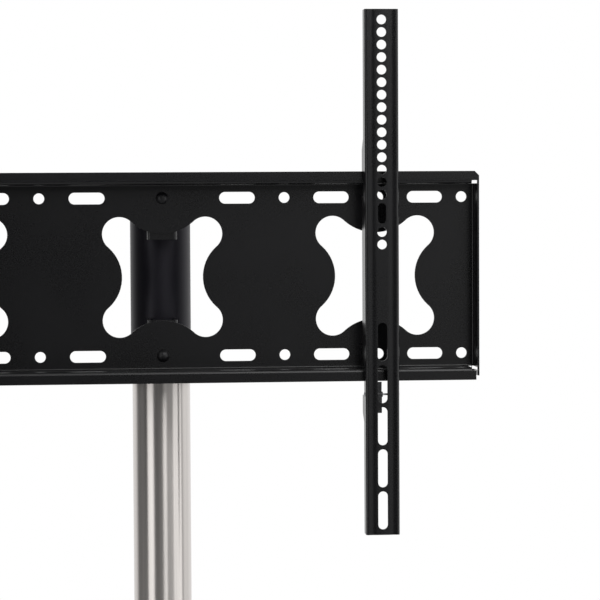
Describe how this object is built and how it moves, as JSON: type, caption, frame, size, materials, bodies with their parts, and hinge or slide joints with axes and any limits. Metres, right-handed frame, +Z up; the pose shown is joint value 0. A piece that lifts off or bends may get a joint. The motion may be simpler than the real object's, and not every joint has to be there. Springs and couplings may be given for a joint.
{
  "type": "screen floor stand",
  "caption": "Free-standing screen stand: a round column on a foot plate carries a sliding, turning mount plate with two hook-on rails.",
  "frame": {"origin": "on the floor under the middle of the column", "axes": "+Z up along the column, front of the screen plate faces -Y, +X to the right seen from the front"},
  "size_m": [0.64, 0.46, 1.558],
  "materials": {
    "foot_plate_finish": "fine textured satin powder coat",
    "foot_pad": "matt moulded pad on a plated stud",
    "root_steel": "satin primer",
    "plain_steel": "zinc plated",
    "brushed_column": "brushed along the tube",
    "brushed_cover": "brushed round the dome",
    "moulded_black": "fine spark texture",
    "black_powder_coat": "satin powder coat",
    "sleeve_finish": "smooth satin black",
    "black_bolt": "black oxide",
    "latch_steel": "satin grey"
  },
  "bodies": {
    "stand": {"base_plate": "foot_plate_finish", "root_disc": "root_steel", "root_screws": "plain_steel", "root_cover": "brushed_cover", "column": "brushed_column", "column_cap": "moulded_black"},
    "collar": {"height_collar": "black_powder_coat", "collar_screws": "plain_steel"},
    "head": {"sleeve": "sleeve_finish", "clamp_bosses": "black_powder_coat", "upper_cleat": "black_powder_coat", "lower_cleat": "black_powder_coat", "screen_plate": "black_powder_coat", "plate_bolts": "black_bolt", "plate_nuts": "plain_steel"},
    "left_rail": {"left_rail": "black_powder_coat", "left_latch_pin": "plain_steel"},
    "right_rail": {"right_rail": "black_powder_coat", "right_latch_pin": "plain_steel"},
    "left_latch": {"left_latch": "latch_steel"},
    "right_latch": {"right_latch": "latch_steel"},
    "upper_clamp_knob": {"upper_clamp_knob": "moulded_black"},
    "lower_clamp_knob": {"lower_clamp_knob": "moulded_black"},
    "front_left_foot": {"front_left_foot": "foot_pad"},
    "front_right_foot": {"front_right_foot": "foot_pad"},
    "rear_left_foot": {"rear_left_foot": "foot_pad"},
    "rear_right_foot": {"rear_right_foot": "foot_pad"}
  },
  "joints": [
    {"name": "head_height", "type": "slide", "parent": "stand", "child": "collar", "axis": [0, 0, -1], "range_m": [0, 0.5]},
    {"name": "head_swivel", "type": "hinge", "parent": "collar", "child": "head", "pos_m": [0, 0, 1.29], "axis": [0, 0, 1], "continuous": true},
    {"name": "left_rail_slide", "type": "slide", "parent": "head", "child": "left_rail", "axis": [-1, 0, 0], "range_m": [-0.118, 0.081]},
    {"name": "left_latch_turn", "type": "hinge", "parent": "left_rail", "child": "left_latch", "pos_m": [-0.221, -0.097, 1.171], "axis": [1, 0, 0], "range_deg": [0, 25]},
    {"name": "right_rail_slide", "type": "slide", "parent": "head", "child": "right_rail", "axis": [1, 0, 0], "range_m": [-0.118, 0.081]},
    {"name": "right_latch_turn", "type": "hinge", "parent": "right_rail", "child": "right_latch", "pos_m": [0.217, -0.097, 1.171], "axis": [1, 0, 0], "range_deg": [0, 25]},
    {"name": "upper_knob_turn", "type": "hinge", "parent": "head", "child": "upper_clamp_knob", "pos_m": [0, 0.06, 1.352], "axis": [0, 1, 0], "continuous": true},
    {"name": "lower_knob_turn", "type": "hinge", "parent": "head", "child": "lower_clamp_knob", "pos_m": [0, 0.06, 1.228], "axis": [0, 1, 0], "continuous": true},
    {"name": "front_left_foot_turn", "type": "hinge", "parent": "stand", "child": "front_left_foot", "pos_m": [-0.248, -0.168, 0.006], "axis": [0, 0, 1], "continuous": true},
    {"name": "front_right_foot_turn", "type": "hinge", "parent": "stand", "child": "front_right_foot", "pos_m": [0.248, -0.168, 0.006], "axis": [0, 0, 1], "continuous": true},
    {"name": "rear_left_foot_turn", "type": "hinge", "parent": "stand", "child": "rear_left_foot", "pos_m": [-0.248, 0.168, 0.006], "axis": [0, 0, 1], "continuous": true},
    {"name": "rear_right_foot_turn", "type": "hinge", "parent": "stand", "child": "rear_right_foot", "pos_m": [0.248, 0.168, 0.006], "axis": [0, 0, 1], "continuous": true}
  ]
}
